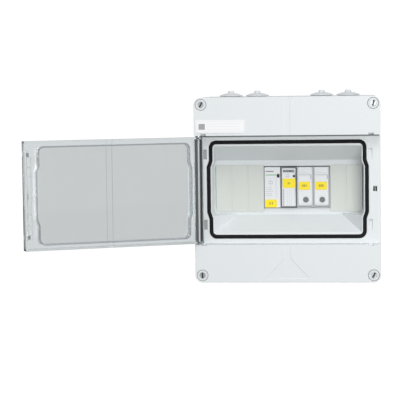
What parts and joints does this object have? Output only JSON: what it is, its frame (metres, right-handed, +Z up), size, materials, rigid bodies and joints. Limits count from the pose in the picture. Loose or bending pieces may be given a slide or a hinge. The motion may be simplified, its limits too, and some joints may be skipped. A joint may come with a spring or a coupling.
{
  "type": "dc combiner box",
  "caption": "Wall-mounted DC combiner box: grey enclosure, clear hinged window door, lift-off cover, and rail-mounted relay, surge arrester and swing-out fuse holders behind a window recess.",
  "frame": {"origin": "centre of the back face, which lies against the wall", "axes": "+Y into the wall, so the front looks along -Y; +Z up; +X to the right as seen from the front"},
  "size_m": [0.3734, 0.1974, 0.2064],
  "materials": {
    "housing_grey": "fine satin moulded plastic, light grey",
    "screw_grey": "moulded quarter-turn screw with a darker slotted centre",
    "door_clear": "clear, lightly smoked polycarbonate",
    "seal_black": "foamed black seal",
    "membrane_grey": "soft light grey elastomer",
    "strip_grey": "satin, warm light grey",
    "device_white": "fine-grained moulded white-grey",
    "device_dark": "dark grey moulded",
    "lens_grey": "smoky translucent indicator lens",
    "tag_yellow": "yellow marker film with plain numbers",
    "label_white": "white film with a plain frame",
    "zinc_steel": "zinc-plated sheet",
    "brass": "drawn bar, slightly dulled",
    "copper": "bare copper comb",
    "fuse_ceramic": "ceramic tube between plated end caps",
    "wire_red": "insulated stranded wire",
    "wire_green": "green wire with yellow stripes",
    "wire_blue": "insulated stranded wire"
  },
  "bodies": {
    "root": {"base_box": "housing_grey", "base_walls": "housing_grey", "cover_seal": "seal_black", "grommet_1": "membrane_grey", "grommet_2": "membrane_grey", "grommet_3": "membrane_grey", "grommet_4": "membrane_grey", "din_rail": "zinc_steel", "rail_screw_left": "zinc_steel", "rail_screw_right": "zinc_steel", "relay_body": "device_white", "surge_base": "device_dark", "fuse_base_1": "device_white", "fuse_base_2": "device_white", "device_tag_1": "tag_yellow", "earth_bar_holder": "device_dark", "earth_bar": "brass", "link_busbar": "copper", "wire_surge_feed": "wire_red", "wire_relay_feed": "wire_red", "wire_surge_earth": "wire_green", "wire_relay_return": "wire_blue"},
    "cover": {"front_cover": "housing_grey", "cover_skirt": "housing_grey", "cover_top_end": "housing_grey", "cover_bottom_end": "housing_grey", "window_frame": "housing_grey", "window_seal": "seal_black", "name_plate": "label_white", "hinge_pin_top": "zinc_steel", "hinge_pin_bottom": "zinc_steel", "blanking_strip_left": "strip_grey", "blanking_strip_right": "strip_grey"},
    "door": {"door": "door_clear", "door_rib": "door_clear"},
    "latch": {"door_latch": "door_clear"},
    "screw_top_left": {"cover_screw_top_left": "screw_grey"},
    "screw_top_right": {"cover_screw_top_right": "screw_grey"},
    "screw_bottom_left": {"cover_screw_bottom_left": "screw_grey"},
    "screw_bottom_right": {"cover_screw_bottom_right": "screw_grey"},
    "cartridge": {"surge_cartridge": "device_white", "surge_status": "seal_black", "device_tag_2": "tag_yellow"},
    "drawer_1": {"fuse_drawer_1": "device_white", "fuse_lens_1": "lens_grey", "fuse_link_1": "fuse_ceramic", "device_tag_3": "tag_yellow"},
    "drawer_2": {"fuse_drawer_2": "device_white", "fuse_lens_2": "lens_grey", "fuse_link_2": "fuse_ceramic", "device_tag_4": "tag_yellow"},
    "button": {"relay_button": "device_dark"},
    "clip_1": {"rail_clip_1": "device_dark"},
    "clip_2": {"rail_clip_2": "device_dark"},
    "clip_3": {"rail_clip_3": "device_dark"},
    "clip_4": {"rail_clip_4": "device_dark"}
  },
  "joints": [
    {"name": "cover_lift", "type": "slide", "parent": "root", "child": "cover", "axis": [0, -1, 0], "range_m": [0, 0.12]},
    {"name": "door_hinge", "type": "hinge", "parent": "cover", "child": "door", "pos_m": [-0.0952, -0.1092, 0], "axis": [0, 0, 1], "range_deg": [-24.5, 155.5]},
    {"name": "latch_tilt", "type": "hinge", "parent": "door", "child": "latch", "pos_m": [-0.26692, -0.18768, 0], "axis": [0, 0, 1], "range_deg": [0, 8], "stiffness_Nm_per_rad": 0.4},
    {"name": "screw_top_left_turn", "type": "hinge", "parent": "cover", "child": "screw_top_left", "pos_m": [-0.0923, -0.114, 0.0923], "axis": [0, -1, 0], "range_deg": [0, 90]},
    {"name": "screw_top_right_turn", "type": "hinge", "parent": "cover", "child": "screw_top_right", "pos_m": [0.0923, -0.114, 0.0923], "axis": [0, -1, 0], "range_deg": [0, 90]},
    {"name": "screw_bottom_left_turn", "type": "hinge", "parent": "cover", "child": "screw_bottom_left", "pos_m": [-0.0923, -0.114, -0.0923], "axis": [0, -1, 0], "range_deg": [0, 90]},
    {"name": "screw_bottom_right_turn", "type": "hinge", "parent": "cover", "child": "screw_bottom_right", "pos_m": [0.0923, -0.114, -0.0923], "axis": [0, -1, 0], "range_deg": [0, 90]},
    {"name": "cartridge_pull", "type": "slide", "parent": "root", "child": "cartridge", "axis": [0, -1, 0], "range_m": [0, 0.028]},
    {"name": "drawer_1_swing", "type": "hinge", "parent": "root", "child": "drawer_1", "pos_m": [0.018, -0.0653, -0.0175], "axis": [1, 0, 0], "range_deg": [0, 60]},
    {"name": "drawer_2_swing", "type": "hinge", "parent": "root", "child": "drawer_2", "pos_m": [0.036, -0.0653, -0.0175], "axis": [1, 0, 0], "range_deg": [0, 60]},
    {"name": "button_press", "type": "slide", "parent": "root", "child": "button", "axis": [0, 1, 0], "range_m": [0, 0.0012], "stiffness_N_per_m": 400},
    {"name": "clip_1_pull", "type": "slide", "parent": "root", "child": "clip_1", "axis": [0, 0, -1], "range_m": [0, 0.0035], "stiffness_N_per_m": 1200},
    {"name": "clip_2_pull", "type": "slide", "parent": "root", "child": "clip_2", "axis": [0, 0, -1], "range_m": [0, 0.0035], "stiffness_N_per_m": 1200},
    {"name": "clip_3_pull", "type": "slide", "parent": "root", "child": "clip_3", "axis": [0, 0, -1], "range_m": [0, 0.0035], "stiffness_N_per_m": 1200},
    {"name": "clip_4_pull", "type": "slide", "parent": "root", "child": "clip_4", "axis": [0, 0, -1], "range_m": [0, 0.0035], "stiffness_N_per_m": 1200}
  ]
}
